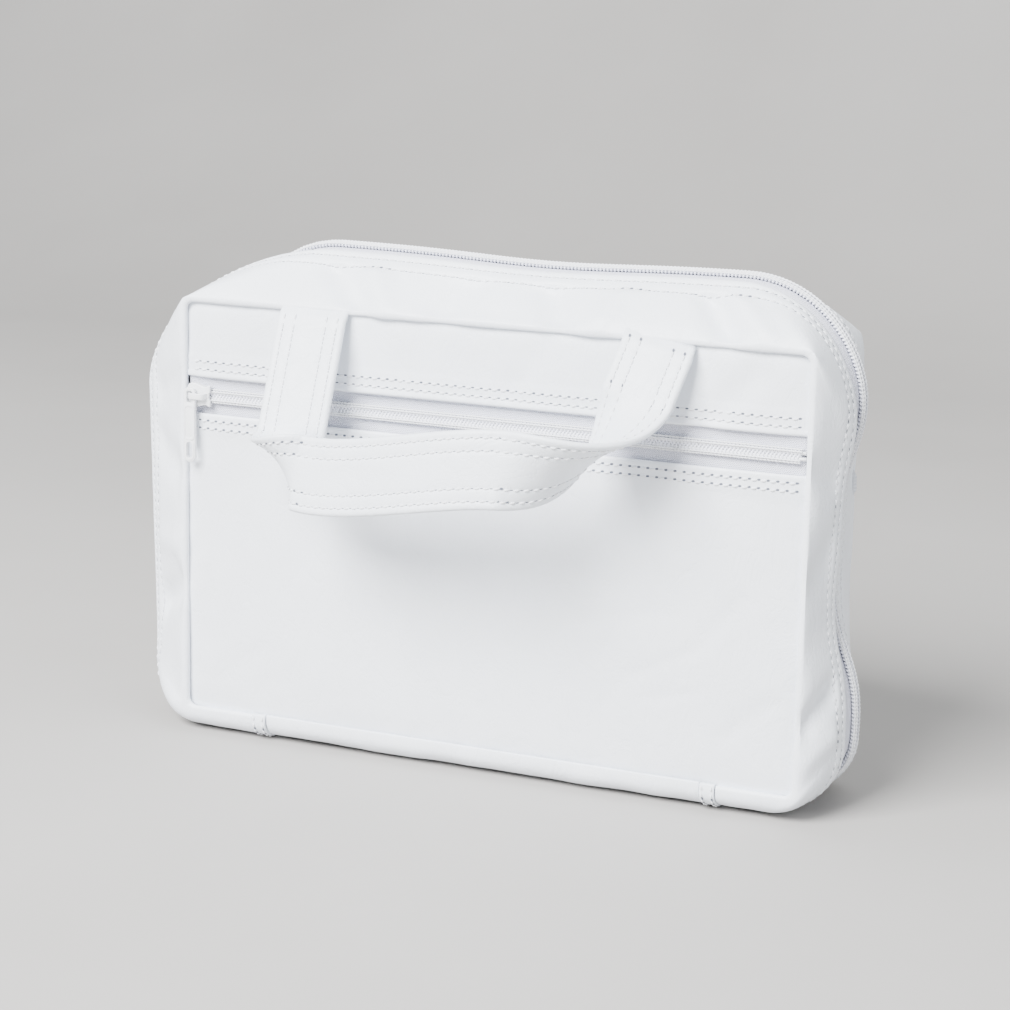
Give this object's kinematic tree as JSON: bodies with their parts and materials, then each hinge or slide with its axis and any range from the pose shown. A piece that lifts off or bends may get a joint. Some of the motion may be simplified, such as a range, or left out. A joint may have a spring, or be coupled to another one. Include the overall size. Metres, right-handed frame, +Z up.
{
  "type": "prayer book carrying case",
  "caption": "Zip-around padded book case in white leather cloth, with a zipped front pocket and strap handles; the shells open at the base.",
  "frame": {"origin": "middle of the bounding box, on the ground the case stands on", "axes": "+X along the width, to the right seen from the front; the pocket side faces -Y; +Z up"},
  "size_m": [0.3115, 0.169, 0.2074],
  "materials": {
    "vinyl": "fine-grained white leather cloth, satin",
    "zip_tape": "woven polyester tape",
    "zip_coil": "nylon coil",
    "zip_metal": "white enamel on die-cast zinc",
    "lining": "plain white lining cloth",
    "board": "grey board"
  },
  "bodies": {
    "back_shell": {"back_panel": "vinyl", "back_stiffener_board": "board", "back_lining": "lining", "back_gusset": "vinyl", "bottom_gusset": "vinyl", "zip_end_tab_left": "vinyl", "zip_end_tab_right": "vinyl", "main_tape_back": "zip_tape", "main_coil_back": "zip_coil"},
    "front_shell": {"front_panel_upper": "vinyl", "front_panel_lower": "vinyl", "pocket_back_wall": "lining", "front_stiffener_board": "board", "front_lining": "lining", "front_gusset": "vinyl", "main_tape_front": "zip_tape", "main_coil_front": "zip_coil", "pocket_tape_upper": "zip_tape", "pocket_tape_lower": "zip_tape", "pocket_coil_upper": "zip_coil", "pocket_coil_lower": "zip_coil"},
    "front_strap": {"front_handle": "vinyl"},
    "back_strap": {"back_handle": "vinyl"},
    "pocket_zip_slider": {"pocket_slider": "zip_metal", "pocket_slider_crown": "zip_metal"},
    "pocket_zip_pull": {"pocket_puller": "zip_metal"},
    "main_zip_slider": {"main_slider": "zip_metal", "main_slider_crown": "zip_metal"},
    "main_zip_pull": {"main_puller": "zip_metal"}
  },
  "joints": [
    {"name": "front_shell_opening", "type": "hinge", "parent": "back_shell", "child": "front_shell", "pos_m": [0.0068, -0.0286, 0.0107], "axis": [1, 0, 0], "range_deg": [0, 90]},
    {"name": "front_handle_swing", "type": "hinge", "parent": "front_shell", "child": "front_strap", "pos_m": [0.0068, -0.032, 0.179], "axis": [-1, 0, 0], "range_deg": [0, 155]},
    {"name": "back_handle_swing", "type": "hinge", "parent": "back_shell", "child": "back_strap", "pos_m": [0.0068, 0.032, 0.179], "axis": [1, 0, 0], "range_deg": [0, 155]},
    {"name": "pocket_zip_slide", "type": "slide", "parent": "front_shell", "child": "pocket_zip_slider", "axis": [1, 0, 0], "range_m": [0, 0.25]},
    {"name": "pocket_pull_hinge", "type": "hinge", "parent": "pocket_zip_slider", "child": "pocket_zip_pull", "pos_m": [-0.1202, -0.0319, 0.1437], "axis": [0, 0, 1], "range_deg": [0, 120]},
    {"name": "main_zip_slide", "type": "slide", "parent": "back_shell", "child": "main_zip_slider", "axis": [-0.0283, 0, 0.9996], "range_m": [0, 0.085]},
    {"name": "main_pull_hinge", "type": "hinge", "parent": "main_zip_slider", "child": "main_zip_pull", "pos_m": [-0.15338, 0, 0.04484], "axis": [0, 1, 0], "range_deg": [0, 120]}
  ]
}
